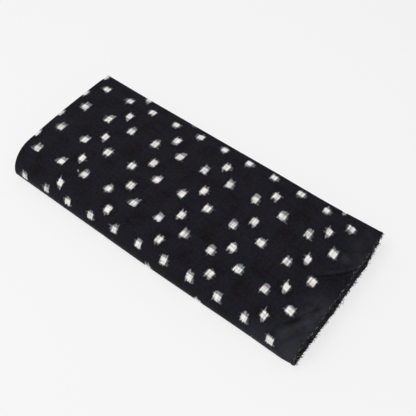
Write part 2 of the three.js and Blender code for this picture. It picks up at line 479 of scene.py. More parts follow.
print("ties at even steps:", even_out(CHART_ALONG, [-106, 12, 128]))


# %% The folded sheet
def sheet_columns():
    """Places from the inner ply's selvage, round the centre fold, to the outer ply's selvage."""
    columns = [{"out": out, "across": -out, "ply": -1, "turn": None} for out in NARROW[::-1]]
    for k in range(1, FOLD_STEPS):
        share = k / FOLD_STEPS - 0.5
        columns.append({"out": 0, "across": 2 * share, "ply": 0, "turn": math.pi * share})
    for out in np.concatenate([[FOLD_RADIUS], WIDE]):
        columns.append({"out": out, "across": out, "ply": 1, "turn": None})
    return columns


def along_warp(line, normals, reach):
    """Distances along the warp from the middle of the top, measured on the outer face."""
    outer = line[:, :2] + normals * reach
    run = np.concatenate([[0], np.cumsum(np.linalg.norm(np.diff(outer, axis=0), axis=1))])
    zero = np.interp(0, line[TOP_FIRST:TOP_LAST, 0], run[TOP_FIRST:TOP_LAST])
    return zero - run


def face_points(column, packet, line, normals, along, face):
    """Points of the outer face (1) or the inner face (-1) at one place across the sheet."""
    reach = PLY_SHARE * packet.pitch + face * SHEET / 2
    offset = column["ply"] * reach
    share = column["out"] / HALF_WIDTH
    if column["turn"] is not None:
        offset = reach * math.sin(column["turn"])
        share = (FOLD_RADIUS - reach * math.cos(column["turn"])) / HALF_WIDTH
    y = line[:, 0] + normals[:, 0] * offset
    z = line[:, 1] + normals[:, 1] * offset
    bow = (line[:, 0] / HALF_DEPTH) ** 2
    fold = -FOLD_SWELL * (1 - bow)
    edge = HALF_WIDTH - SELVAGE_DRAW * bow - (INNER_PLY_SHORT if column["ply"] < 0 else 0)
    x = mix(fold, edge, share) - HALF_WIDTH / 2 + line[:, 2] + END_LEAN * y
    x += packet.loose**2 * selvage_wave(along, column["ply"])
    x += FOLD_LEAN * y * (1 - share)
    low = 1 - np.clip(z / (LOW_SHARE * packet.height), 0, 1)
    far = np.clip((y - FAR_CORNER_FROM) / (HALF_DEPTH - FAR_CORNER_FROM), 0, 1)
    x -= FAR_CORNER_BACK * packet.loose**2 * low * far
    return np.column_stack([x + CENTRING[0], y + CENTRING[1], z])


def build_sheet():
    """Points of both faces, their places on the even chart, and the yarns' slips and the creases there."""
    faces = {1: [], -1: []}
    places = []
    marks = []
    for column in sheet_columns():
        packet = Packet(column["out"])
        line = fold_line(packet)
        normals = miter_normals(line)
        along = along_warp(line, normals, packet.half)
        for face, columns in faces.items():
            columns.append(face_points(column, packet, line, normals, along, face))
        across = float(even_out(CHART_ACROSS, abs(column["across"])))
        even = even_out(CHART_ALONG, along - station_value("sway", column["out"]))
        places.append(np.column_stack([np.full(len(even), across * np.sign(column["across"])), even]))
        warp = chart_slip(CHART_ACROSS, across, "warp", True) + chart_slip(CHART_ALONG, even, "warp", False)
        weft = chart_slip(CHART_ACROSS, across, "weft", False) + chart_slip(CHART_ALONG, even, "weft", True)
        marks.append(np.column_stack([warp, weft, line[:, 3] * (column["ply"] > 0)]))
    return faces, np.array(places), np.array(marks)


def sheet_mesh(name):
    faces, places, marks = build_sheet()
    outer = np.array(faces[1])
    inner = np.array(faces[-1])
    columns, rows = outer.shape[:2]
    points = np.concatenate([outer.reshape(-1, 3), inner.reshape(-1, 3)]) * MM
    uv = np.concatenate([places.reshape(-1, 2)] * 2) * MM

    def at(face, column, row):
        return (face * columns + column) * rows + row

    quads = []
    for c in range(columns - 1):
        for r in range(rows - 1):
            quads.append((at(0, c, r), at(0, c + 1, r), at(0, c + 1, r + 1), at(0, c, r + 1)))
            quads.append((at(1, c, r), at(1, c, r + 1), at(1, c + 1, r + 1), at(1, c + 1, r)))
    end = columns - 1
    for r in range(rows - 1):
        quads.append((at(0, 0, r), at(0, 0, r + 1), at(1, 0, r + 1), at(1, 0, r)))
        quads.append((at(0, end, r), at(1, end, r), at(1, end, r + 1), at(0, end, r + 1)))
    last = rows - 1
    for c in range(columns - 1):
        quads.append((at(0, c, 0), at(1, c, 0), at(1, c + 1, 0), at(0, c + 1, 0)))
        quads.append((at(0, c, last), at(0, c + 1, last), at(1, c + 1, last), at(1, c, last)))
    mesh = bpy.data.meshes.new(name)
    mesh.from_pydata(points.tolist(), [], quads)
    layer = mesh.uv_layers.new(name="cloth")
    corners = np.empty(len(mesh.loops), dtype=np.int32)
    mesh.loops.foreach_get("vertex_index", corners)
    layer.data.foreach_set("uv", uv[corners].astype(np.float32).ravel())
    slips = mesh.attributes.new("slips_and_crease", "FLOAT_VECTOR", "POINT")
    slips.data.foreach_set("vector", np.concatenate([marks.ravel()] * 2).astype(np.float32))
    mesh.polygons.foreach_set("use_smooth", [True] * len(mesh.polygons))
    mesh.update()
    return mesh, (outer + inner) / 2


cloth_mesh, middle_points = sheet_mesh("ikat_cloth")
cloth = add_object("ikat_cloth", cloth_mesh)
print("sheet:", len(cloth_mesh.vertices), "points,", len(cloth_mesh.polygons), "quads")

# %% [markdown]
# ## Colour and node helpers
#
# Colours are given as sRGB, and a shader needs them linear, so one function converts them. A node
# tree of some size reads better when each step is one short call, so one small function adds a node, sets
# its values and joins its inputs. The kinds of node that come up most get short names here.

# %% Helpers for materials
MATHS = "ShaderNodeMath"
VECTOR = "ShaderNodeVectorMath"
NOISE = "ShaderNodeTexNoise"
RAMP = "ShaderNodeMapRange"
SOFT = {"interpolation_type": "SMOOTHSTEP"}  # a ramp that starts and ends gently


def linear(hex_colour):
    """sRGB hex to linear RGBA."""
    values = [int(hex_colour[i:i + 2], 16) / 255 for i in (1, 3, 5)]
    return tuple(v / 12.92 if v <= 0.04045 else ((v + 0.055) / 1.055) ** 2.4 for v in values) + (1.0,)


def add_node(tree, kind, *values, inputs=(), **settings):
    """Adds a node with its settings. The values go in order into the inputs that it then shows, and inputs
    names more of them. A value may be an output, or a node, which stands for the first output it shows."""
    node = tree.nodes.new(kind)
    for name, value in settings.items():
        setattr(node, name, value)
    shown = [socket for socket in node.inputs if socket.enabled]
    named = [(node.inputs[name], value) for name, value in dict(inputs).items()]
    for socket, value in list(zip(shown, values)) + named:
        if isinstance(value, bpy.types.Node):
            value = next(output for output in value.outputs if output.enabled)
        if isinstance(value, bpy.types.NodeSocket):
            tree.links.new(value, socket)
        else:
            socket.default_value = value
    return node


def new_material(name, finish):
    """A material, its tree and its shader, with plain values on the shader's own sockets."""
    material = bpy.data.materials.new(name)
    material.use_nodes = True
    shader = material.node_tree.nodes["Principled BSDF"]
    for socket, value in finish.items():
        shader.inputs[socket].default_value = value
    return material, material.node_tree, shader


def weighted_sum(tree, start, *terms):
    """The start, and each term's value by its weight."""
    for value, weight in terms:
        start = add_node(tree, MATHS, value, weight, start, operation="MULTIPLY_ADD")
    return start


def product(tree, first, *others, clamp=False):
    for other in others:
        first = add_node(tree, MATHS, first, other, operation="MULTIPLY", use_clamp=clamp)
    return first


def lay_coats(tree, ground, *coats):
    """Lays colours over a ground, each by the share of it that shows."""
    for share, colour in coats:
        ground = add_node(tree, "ShaderNodeMix", share, ground, colour, data_type="RGBA")
    return ground


print("white in linear colour:", linear("#ffffff"))

# %% [markdown]
# ## Double ikat
#
# In double ikat both yarns are bound and dyed before weaving. A square is bright where bound stretches of
# warp and weft cross, and half bright where only one of them is bound, so each square has pale streaks on
# all four sides. The bindings never line up to a millimetre, so each small bundle of yarns starts and stops
# its white stretch a little early or late. A picture of this could be painted on, but here the shader does
# what the dyer does: it cuts the cloth into bundles, moves each bundle's white stretch by a random amount,
# and mixes the warps' white with the wefts'.

# %% The bound stretches
BUNDLE = 1.8  # width of a bundle of yarns that were tied and slip together
THREAD = 0.75  # spacing of the threads, a little coarser than the real 0.4 mm so that it can show
LAST_COLUMN = 540  # plain cloth beyond this, to the selvage
FIELD_EDGE = 2
MISSED_TIE = {"along": 210, "reach": 12, "edge": 1}  # on the centre fold one square was never tied
WARP_SHARE = 0.59  # the warps lie closer than the wefts, so they give more than half of the white
SHADING = 1.75  # black yarns shade the white ones that they cross, by this power of the white share

# Each family of squares has its columns and rows, as the step between them and the place of the first. For
# its warps and its wefts come the width of the bound band, how long the white stretch is, how far a bundle
# and a thread may slip, and how long the longest tails are.
SQUARES = [
    {
        "columns": (COLUMN_STEP, COLUMN_STEP / 2), "rows": (ROW_STEP, 0.0), "seed": 1.1,
        "warp": {"band": 10.8, "length": 15.2, "bundle_slip": 1.8, "thread_slip": 1.0, "tail": 4.5},
        "weft": {"band": 11.2, "length": 14.2, "bundle_slip": 1.2, "thread_slip": 1.0, "tail": 3.0},
    },
    {
        "columns": (2 * COLUMN_STEP, 0.0), "rows": (ROW_STEP, B_ROW_SHIFT), "seed": 5.3,
        "warp": {"band": 10.4, "length": 15.6, "bundle_slip": 2.8, "thread_slip": 1.0, "tail": 3.0},
        "weft": {"band": 11.2, "length": 12.8, "bundle_slip": 1.4, "thread_slip": 1.0, "tail": 3.0},
    },
]
LENGTH_SPREAD = 1.0  # a bundle's stretch may be this much longer or shorter on each side
BAND_SPREAD = 0.5  # and its band this much wider or narrower
TAIL_POWER = 5.0  # few threads have a long tail
CREEP = (-0.9, 0.3)  # the dye creeps this far under the binding's end
SIDE_CREEP = 0.25  # and hardly at all under its sides
STRENGTH = {"least": 0.5, "thread": 0.3, "bundle": 0.62}  # how white a thread and its bundle came out

# Tags and seeds that keep the random numbers of one use apart from those of the others
PLAIN_TAG = 0.5
TIE_TAG = 0.37
THREAD_SEED = 2.6
WHITE_SEED = 4.9
WEFT_SEED = 7.7
WARP_TONE_SEED = 2.2
WEFT_TONE_SEED = 4.4


def chance(tree, a, b, c):
    """Three even random numbers that depend only on a, b and c."""
    place = add_node(tree, "ShaderNodeCombineXYZ", a, b, c)
    noise = add_node(tree, "ShaderNodeTexWhiteNoise", place, noise_dimensions="3D")
    return add_node(tree, "ShaderNodeSeparateColor", noise.outputs["Color"]).outputs


def centred(tree, share, reach):
    """An even random number from 0 to 1 made to run from -reach to reach."""
    return add_node(tree, MATHS, share, 2 * reach, -reach, operation="MULTIPLY_ADD")


def strip_number(tree, place, width):
    """The number of the bundle or thread that a place lies in."""
    strips = add_node(tree, MATHS, place, width, operation="DIVIDE")
    return add_node(tree, MATHS, strips, operation="FLOOR")


def nearest_tie(tree, place, step, first):
    """The number of the nearest tie along one direction, and the distance from it."""
    from_first = add_node(tree, MATHS, place, first, operation="SUBTRACT")
    steps = add_node(tree, MATHS, from_first, step, operation="DIVIDE")
    number = add_node(tree, MATHS, steps, operation="ROUND")
    past = add_node(tree, MATHS, steps, number, operation="SUBTRACT")
    return number, product(tree, past, step)


print("width of a bundle in threads:", BUNDLE / THREAD)


# %% White of one set of yarns
def bound_stretch(tree, over, along, slip, bands, ties, yarns, seed):
    """over runs across the yarns, with a bound band at each of bands, and along runs with them."""
    bundle = strip_number(tree, over, BUNDLE)
    thread = strip_number(tree, over, THREAD)
    tie_number, from_tie = nearest_tie(tree, along, *ties)
    tie_tag = add_node(tree, MATHS, tie_number, TIE_TAG, operation="ADD")

    # A bundle slips by the same amount at all its ties, and a thread in it a little more or less
    bundle_slip, bundle_length, edge = chance(tree, bundle, PLAIN_TAG, seed)
    thread_slip, tail, thread_white = chance(tree, thread, tie_tag, seed + THREAD_SEED)
    bundle_white = chance(tree, bundle, tie_tag, seed + WHITE_SEED)[0]
    slip = weighted_sum(tree, slip, (centred(tree, bundle_slip, yarns["bundle_slip"]), 1),
                        (centred(tree, thread_slip, yarns["thread_slip"]), 1))
    tail = add_node(tree, MATHS, tail, TAIL_POWER, operation="POWER")
    reach = weighted_sum(tree, yarns["length"] / 2, (centred(tree, bundle_length, LENGTH_SPREAD), 1),
                         (tail, yarns["tail"]))
    off_middle = add_node(tree, MATHS, from_tie, slip, operation="SUBTRACT")
    off_middle = add_node(tree, MATHS, off_middle, operation="ABSOLUTE")
    off_end = add_node(tree, MATHS, off_middle, reach, operation="SUBTRACT")
    off_band = add_node(tree, MATHS, nearest_tie(tree, over, *bands)[1], operation="ABSOLUTE")
    off_band = weighted_sum(tree, off_band, (centred(tree, edge, BAND_SPREAD), 1))

    side = yarns["band"] / 2
    inside_ends = add_node(tree, RAMP, off_end, *CREEP, 1, 0, **SOFT)
    inside_sides = add_node(tree, RAMP, off_band, side - SIDE_CREEP, side + SIDE_CREEP, 1, 0, **SOFT)
    strength = weighted_sum(tree, STRENGTH["least"], (thread_white, STRENGTH["thread"]),
                            (bundle_white, STRENGTH["bundle"]))
    return product(tree, inside_ends, inside_sides, strength, clamp=True)


# %% White of the whole cloth
def white_share(tree, side, along, warp_slip, weft_slip):
    """From 0, for black yarns alone, to 1, where white warps and wefts cross."""
    warp, weft = 0.0, 0.0
    for family in SQUARES:
        columns, rows, seed = family["columns"], family["rows"], family["seed"]
        warps = bound_stretch(tree, side, along, warp_slip, columns, rows, family["warp"], seed)
        wefts = bound_stretch(tree, along, side, weft_slip, rows, columns, family["weft"], seed + WEFT_SEED)
        warp = add_node(tree, MATHS, warp, warps, operation="MAXIMUM")
        weft = add_node(tree, MATHS, weft, wefts, operation="MAXIMUM")
    both = weighted_sum(tree, 0.0, (warp, WARP_SHARE), (weft, 1 - WARP_SHARE))
    shaded = add_node(tree, MATHS, both, SHADING, operation="POWER")
    in_field = add_node(tree, RAMP, side, LAST_COLUMN, LAST_COLUMN + FIELD_EDGE, 1, 0, **SOFT)
    off_missed = add_node(tree, MATHS, along, MISSED_TIE["along"], operation="SUBTRACT")
    off_missed = add_node(tree, MATHS, off_missed, operation="ABSOLUTE")
    off_missed = add_node(tree, MATHS, side, off_missed, operation="MAXIMUM")
    reach = MISSED_TIE["reach"]
    tied = add_node(tree, RAMP, off_missed, reach - MISSED_TIE["edge"], reach, **SOFT)
    return product(tree, shaded, in_field, tied)


print("length of the warps' white in mm, for each family:", [family["warp"]["length"] for family in SQUARES])

# %% [markdown]
# ## The cloth's finish
#
# Black handloom cotton is matt and a little dusty. Its dye is uneven, its threads vary in thickness, and at
# a flat angle its fibres catch the light, so the rims of the packet look paler. The shader adds these in
# turn: cloudy dye, thread by thread variation, a fine weave as bump, and sheen for the fibres. It is greyer
# in listed patches, most of them by the selvage. Along the narrow creases the colour is painted darker in
# the troughs, as painted shade, and paler on the ridges, as rubbed wear and painted highlight.

# %% Dyes, and what makes each of them show
GROUND = "#0a070a"
# Unevenness of the dye: clouds per millimetre, and how finely they break up
CLOUDS = {
    "broad": {"Scale": 0.035, "Detail": 4.0, "Roughness": 0.65},
    "patches": {"Scale": 0.07, "Detail": 3.0, "Roughness": 0.6},
    "fine": {"Scale": 0.22, "Detail": 4.0, "Roughness": 0.75},
}
# The tied yarns were dyed apart from the plain ones, and are a touch bluer, out to this far from a tie
TIED_ZONE = (6.0, 13.0)
# The sum of its causes, by their weights, has to pass the first of "shows" for a dye to show, and the
# second for it to cover fully
DYES = [
    {"colour": "#0d1218", "causes": {"tied": 0.45, "broad": 1.3}, "shows": (0.45, 1.15)},
    {"colour": "#0c0810", "causes": {"patches": 1.0}, "shows": (0.48, 0.62)},
    {"colour": "#1e1c24", "causes": {"threads": 0.2, "fine": 1.0, "broad": 0.6}, "shows": (0.65, 1.25)},
]


def dye_coats(tree, place, across, along):
    """What could make a dye show at a place, by name, and the coats of dye."""
    causes = {}
    for name, size in CLOUDS.items():
        causes[name] = add_node(tree, NOISE, inputs={"Vector": place, **size})
    warp_tone = chance(tree, strip_number(tree, across, THREAD), PLAIN_TAG, WARP_TONE_SEED)[0]
    weft_tone = chance(tree, PLAIN_TAG, strip_number(tree, along, THREAD), WEFT_TONE_SEED)[0]
    causes["threads"] = weighted_sum(tree, 0.0, (warp_tone, 0.5), (weft_tone, 0.5))
    off_ties = [add_node(tree, MATHS, nearest_tie(tree, *way)[1], operation="ABSOLUTE")
                for way in ((across, *SQUARES[0]["columns"]), (along, *SQUARES[0]["rows"]))]
    off_tie = add_node(tree, MATHS, *off_ties, operation="MINIMUM")
    causes["tied"] = add_node(tree, RAMP, off_tie, *TIED_ZONE, 1, 0, **SOFT)
    coats = []
    for dye in DYES:
        terms = [(causes[name], weight) for name, weight in dye["causes"].items()]
        amount = weighted_sum(tree, 0.0, *terms)
        coats.append((add_node(tree, RAMP, amount, *dye["shows"], **SOFT), linear(dye["colour"])))
    return causes, coats


# %% Grey patches, painted crease shade and lint, listed one by one
# Places on the flat cloth: across from the centre fold, and along the chart of ties
# A paler grey laid over the black in the listed patches and on the creases' ridges
GREYED = "#35363d"
GREY_PATCHES = [
    {"across": 562, "along": 236, "radius": 74, "lift": 0.62},
    {"across": 566, "along": 160, "radius": 56, "lift": 0.6},
    {"across": 566, "along": 26, "radius": 40, "lift": 0.5},
    {"across": 543, "along": 52, "radius": 14, "lift": 0.45},
    {"across": 552, "along": -14, "radius": 20, "lift": 0.35},
    {"across": 18, "along": 112, "radius": 26, "lift": 0.3},
    {"across": 500, "along": 262, "radius": 50, "lift": 0.4},
]
GREY_CLOUDS = (0.2, 0.6)  # the grey follows the broad clouds between these levels
TROUGH_SHADE = "#020203"
CREASE_SHADE_MARKS = ((GREYED, 0.4), (TROUGH_SHADE, -0.42))  # a crease's trough is painted darker, as painted shade, and its ridge paler, as rubbed wear and painted highlight
LINT = "#b9b9bd"  # flecks of undyed lint
LINT_EDGE = (0.4, 1.2)
FLECKS = [
    {"across": 111.5, "along": 175, "width": 2.2, "length": 3.0},
    {"across": 113.5, "along": 177, "width": 3.0, "length": 1.4},
]
# The selvage's loops show as a paler, broken line on the top layer
LOOPS = "#74747c"
LOOPS_EDGE = (567.2, 568.6)
LOOPS_FROM = (-30.0, -24.0)
LOOPS_TO = (262.0, 268.0)
LOOPS_BREAK = {"Scale": 0.16, "Detail": 2.0}
LOOPS_SHOW = (0.46, 0.6)


def grey_crease_and_lint_coats(tree, place, folded, along, crease, broad):
    """place is on the whole cloth, and folded has the inner ply's half turned over onto the outer's."""
    # Greyer patches, then the creases' painted shade and highlight, then flecks of lint
    grey_share = 0.0
    for patch in GREY_PATCHES:
        centre = (patch["across"], patch["along"], 0)
        distance = add_node(tree, VECTOR, folded, centre, operation="DISTANCE")
        near = add_node(tree, RAMP, distance, 0.0, patch["radius"], 1, 0, **SOFT)
        grey_share = weighted_sum(tree, grey_share, (near, patch["lift"]))
    in_clouds = add_node(tree, RAMP, broad, *GREY_CLOUDS, **SOFT)
    coats = [(product(tree, grey_share, in_clouds, clamp=True), linear(GREYED))]
    # Painted shade in each crease's trough, and a paler ridge, as rubbed wear and painted highlight
    for colour, share in CREASE_SHADE_MARKS:
        coats.append((product(tree, crease, share, clamp=True), linear(colour)))
    for fleck in FLECKS:
        off = add_node(tree, VECTOR, place, (fleck["across"], fleck["along"], 0), operation="SUBTRACT")
        off = add_node(tree, VECTOR, off, (fleck["width"] / 2, fleck["length"] / 2, 1), operation="DIVIDE")
        square = add_node(tree, VECTOR, off, off, operation="DOT_PRODUCT")
        coats.append((add_node(tree, RAMP, square, *LINT_EDGE, 1, 0, **SOFT), linear(LINT)))
    return coats


def loops_coat(tree, side, along):
    broken = add_node(tree, NOISE, noise_dimensions="1D", inputs={"W": along, **LOOPS_BREAK})
    loops = product(
        tree,
        add_node(tree, RAMP, side, *LOOPS_EDGE, **SOFT),
        add_node(tree, RAMP, along, *LOOPS_FROM, **SOFT),
        add_node(tree, RAMP, along, *LOOPS_TO, 1, 0, **SOFT),
        add_node(tree, RAMP, broken, *LOOPS_SHOW, **SOFT),
    )
    return loops, linear(LOOPS)


print(len(GREY_PATCHES), "worn patches and", len(FLECKS), "flecks of lint")

# %% The ikat cotton
CREAM = "#fcfaf4"  # undyed cotton is creamy, and uneven where the dye reached it a little
CREAM_DEEP = "#eceae3"
CREAM_DARK = "#cac7c1"
DARK_THREADS = 0.3  # how much of the dark cream the darkest threads get
HALF_TONE = "#dcdadd"  # where only one yarn is white, the black one tints it
HALF_TONE_SHOWS = (0.3, 0.9)
WEAVE_RISE = 0.5
FLUFF_RISE = 1.5
BUMP = {"Strength": 0.35, "Distance": 0.0004}
COTTON = {
    "Roughness": 0.8,
    "Specular IOR Level": 0.1,
    "Sheen Weight": 0.26,
    "Sheen Roughness": 0.22,
    "Sheen Tint": linear("#c9cbd6"),
}


def ikat_cotton():
    """Black plain-weave cotton with small white double ikat squares: matt, with a faint sheen of fibres."""
    material, tree, shader = new_material("ikat cotton", COTTON)
    uv = add_node(tree, "ShaderNodeUVMap", uv_map="cloth")
    place = add_node(tree, VECTOR, uv, 1 / MM, operation="SCALE")
    across, along, _ = add_node(tree, "ShaderNodeSeparateXYZ", place).outputs
    side = add_node(tree, MATHS, across, operation="ABSOLUTE")
    folded = add_node(tree, "ShaderNodeCombineXYZ", side, along)
    marks = add_node(tree, "ShaderNodeAttribute", attribute_name="slips_and_crease").outputs["Vector"]
    warp_slip, weft_slip, crease = add_node(tree, "ShaderNodeSeparateXYZ", marks).outputs
    white = white_share(tree, side, along, warp_slip, weft_slip)

    causes, coats = dye_coats(tree, place, across, along)
    coats += grey_crease_and_lint_coats(tree, place, folded, along, crease, causes["broad"])
    black = lay_coats(tree, linear(GROUND), *coats, loops_coat(tree, side, along))
    dark_threads = product(tree, causes["threads"], DARK_THREADS)
    cream = lay_coats(tree, linear(CREAM), (causes["fine"], linear(CREAM_DEEP)))
    cream = lay_coats(tree, cream, (dark_threads, linear(CREAM_DARK)))
    full = add_node(tree, RAMP, white, *HALF_TONE_SHOWS, **SOFT)
    cream = lay_coats(tree, linear(HALF_TONE), (full, cream))
    tree.links.new(lay_coats(tree, black, (white, cream)).outputs["Result"], shader.inputs["Base Color"])

    # The weave, and fluff on it
    turns = 2 * math.pi / THREAD
    waves = [add_node(tree, MATHS, product(tree, way, turns), operation="SINE") for way in (across, along)]
    height = weighted_sum(tree, 0.0, (product(tree, *waves), WEAVE_RISE), (causes["fine"], FLUFF_RISE))
    bump = add_node(tree, "ShaderNodeBump", inputs={"Height": height, **BUMP})
    tree.links.new(bump.outputs["Normal"], shader.inputs["Normal"])
    print("ikat cotton has", len(tree.nodes), "nodes")
    return material


cloth_mesh.materials.append(ikat_cotton())

# %% [markdown]
# ## Loose yarn ends
#
# Along a handloom selvage the weft's ends and fluff stand out by a few millimetres. There are hundreds, so
# Geometry Nodes sows them: points along the edge of each layer, a short yarn on each point, turned and
# scaled at random from a fixed seed. A few tufts that can be told apart are listed one by one.

# %% The yarn of the loose ends
LOOSE_YARN = {"Roughness": 0.9, "Specular IOR Level": 0.1, "Sheen Weight": 0.2}
LOOSE_CLOUDS = 300.0  # clouds per metre
LOOSE_COLOURS = ("#121116", "#302e34")


def loose_cotton():
    """Black cotton yarn, unspun at its ends, so that it is paler and fuzzier than the cloth."""
    material, tree, shader = new_material("loose cotton yarn", LOOSE_YARN)
    place = add_node(tree, "ShaderNodeTexCoord").outputs["Object"]
    tone = add_node(tree, NOISE, place, LOOSE_CLOUDS)
    dark, pale = [linear(colour) for colour in LOOSE_COLOURS]
    tree.links.new(lay_coats(tree, dark, (tone, pale)).outputs["Result"], shader.inputs["Base Color"])
    return material


yarn = loose_cotton()


# %% How each yarn tree starts and ends
def start_tree(name, sizes):
    """A tree with named inputs for its sizes, and the outputs of its input node."""
    tree = bpy.data.node_groups.new(name, "GeometryNodeTree")
    tree.interface.new_socket("Geometry", in_out="INPUT", socket_type="NodeSocketGeometry")
    for size, value in sizes.items():
        kind = "NodeSocketInt" if isinstance(value, int) else "NodeSocketFloat"
        tree.interface.new_socket(size, in_out="INPUT", socket_type=kind).default_value = value
    tree.interface.new_socket("Geometry", in_out="OUTPUT", socket_type="NodeSocketGeometry")
    return tree, add_node(tree, "NodeGroupInput").outputs


def keep_above(tree, geometry, lowest):
    """Lifts whatever dips below the surface that the packet lies on."""
    x, y, z = add_node(tree, "ShaderNodeSeparateXYZ", add_node(tree, "GeometryNodeInputPosition")).outputs
    z = add_node(tree, MATHS, z, lowest, operation="MAXIMUM")
    place = add_node(tree, "ShaderNodeCombineXYZ", x, y, z)
    return add_node(tree, "GeometryNodeSetPosition", geometry, inputs={"Position": place})


def finish_tree(tree, curves, thickness, sides, material):
    """Gives the curves a yarn's thickness and its material."""
    ring = add_node(tree, "GeometryNodeCurvePrimitiveCircle", sides, product(tree, thickness, 0.5))
    tube = add_node(tree, "GeometryNodeCurveToMesh",
                    inputs={"Curve": curves, "Profile Curve": ring, "Fill Caps": True})
    real = add_node(tree, "GeometryNodeRealizeInstances", tube)
    dressed = add_node(tree, "GeometryNodeSetMaterial", real, inputs={"Material": material})
    add_node(tree, "NodeGroupOutput", dressed)
    print(tree.name, "tree has", len(tree.nodes), "nodes")
    return tree


# %% A tree that sows yarn ends along lines
SOWING_STEP = 0.0008
WAY_LEAST = (0.35, -1.2, -0.6)  # more or less outward
WAY_MOST = (1.0, 1.2, 0.7)
SIZE_RANGE = (0.35, 1.15)
SIZE_POWER = 2.0  # short ends are the most common
CURLS = 450.0  # per metre
CURL_REACH = 2.2
LOWEST_END = 0.0003


def yarn_end_tree():
    sizes = {"Share": 0.1, "Length": 0.004, "Thickness": 0.0003, "Bends": 4, "Seed": 1}
    tree, given = start_tree("yarn ends", sizes)
    seed = {"Seed": given["Seed"]}

    # Points close together along the selvage, of which a random few are used
    line = add_node(tree, "GeometryNodeMeshToCurve", given["Geometry"])
    points = add_node(tree, "GeometryNodeCurveToPoints", line, SOWING_STEP, mode="LENGTH")
    chosen = add_node(tree, "FunctionNodeRandomValue", given["Share"], data_type="BOOLEAN", inputs=seed)

    # A straight yarn on each point
    end = add_node(tree, "ShaderNodeCombineXYZ", 0.0, 0.0, given["Length"])
    straight = add_node(tree, "GeometryNodeCurvePrimitiveLine", inputs={"End": end})
    stepped = add_node(tree, "GeometryNodeResampleCurve", straight, inputs={"Count": given["Bends"]})
    way = add_node(tree, "FunctionNodeRandomValue", WAY_LEAST, WAY_MOST,
                   data_type="FLOAT_VECTOR", inputs=seed)
    turn = add_node(tree, "FunctionNodeAlignRotationToVector", axis="Z", inputs={"Vector": way})
    size = add_node(tree, "FunctionNodeRandomValue", *SIZE_RANGE, data_type="FLOAT", inputs=seed)
    size = add_node(tree, MATHS, size, SIZE_POWER, operation="POWER")
    placed = add_node(tree, "GeometryNodeInstanceOnPoints", points,
                      inputs={"Selection": chosen, "Instance": stepped, "Rotation": turn, "Scale": size})
    real = add_node(tree, "GeometryNodeRealizeInstances", placed)

    # Curl, more toward the free end
    noise = add_node(tree, NOISE, add_node(tree, "GeometryNodeInputPosition"), CURLS)
    bend = add_node(tree, VECTOR, noise.outputs["Color"], (0.5, 0.5, 0.5), operation="SUBTRACT")
    reach = product(tree, add_node(tree, "GeometryNodeSplineParameter"), given["Length"], CURL_REACH)
    bend = add_node(tree, VECTOR, bend, reach, operation="SCALE")
    curled = add_node(tree, "GeometryNodeSetPosition", real, inputs={"Offset": bend})
    kept = keep_above(tree, curled, LOWEST_END)
    return finish_tree(tree, kept, given["Thickness"], 4, yarn)


sowing = yarn_end_tree()


# %% Short ends along the selvages
def lines_object(name, lines):
    """An object of bare edges, one run for each line of points in millimetres."""
    points = np.concatenate(lines) * MM
    edges = []
    start = 0
    for line in lines:
        edges += [(start + k, start + k + 1) for k in range(len(line) - 1)]
        start += len(line)
    mesh = bpy.data.meshes.new(name)
    mesh.from_pydata(points.tolist(), edges, [])
    return add_object(name, mesh)


def grow(name, lines, tree, **sizes):
    """Runs a tree on lines, and keeps what it makes as a plain mesh."""
    source = lines_object(name + "_lines", lines)
    modifier = source.modifiers.new("yarn", "NODES")
    modifier.node_group = tree
    for item in tree.interface.items_tree:
        if item.in_out == "INPUT" and item.name in sizes:
            modifier[item.identifier] = sizes[item.name]
    bpy.context.view_layer.update()
    graph = bpy.context.evaluated_depsgraph_get()
    mesh = bpy.data.meshes.new_from_object(source.evaluated_get(graph))
    bpy.data.objects.remove(source)
    print(name, "has", len(mesh.polygons), "faces")
    return add_object(name, mesh)


selvages = [middle_points[-1], middle_points[0]]
fuzz = grow("selvage_fuzz", selvages, sowing, Share=0.3, Length=0.0038, Thickness=0.0006, Bends=4, Seed=11)
ends = grow("selvage_ends", selvages, sowing, Share=0.016, Length=0.0052, Thickness=0.0006, Bends=8, Seed=5)

# %% Tufts, listed one by one
# Where along the selvage end each stands, how high on the stack, how far it reaches and how often it turns
TUFTS = [
    {"y": 124, "height": 0.7, "reach": 5, "turns": 0.4, "yarns": 3},
    {"y": 103, "height": 0.5, "reach": 6, "turns": 0.7, "yarns": 4},
    {"y": 99, "height": 0.3, "reach": 5, "turns": -0.5, "yarns": 3},
    {"y": 62, "height": 0.6, "reach": 4, "turns": 0.6, "yarns": 3},
    {"y": 36, "height": 0.5, "reach": 6, "turns": -0.8, "yarns": 5},
    {"y": 25, "height": 0.4, "reach": 4, "turns": 0.5, "yarns": 3},
    {"y": -28, "height": 0.5, "reach": 3, "turns": 0.6, "yarns": 3},
    {"y": -74, "height": 0.7, "reach": 3, "turns": -0.6, "yarns": 4},
    {"y": -100, "height": 0.6, "reach": 7, "turns": 1.1, "yarns": 5},
    {"y": -126, "height": 0.3, "reach": 5, "turns": -0.5, "yarns": 5},
]
TUFT_SEED = 21
TUFT_STEPS = 10
TUFT_LEAN = (-0.6, 0.6)
TUFT_RISE = (-0.5, 0.2)
TUFT_REACH = (0.5, 1.1)
TUFT_WIDTH = (-1.5, 1.5)
TUFT_LOWEST = 0.4


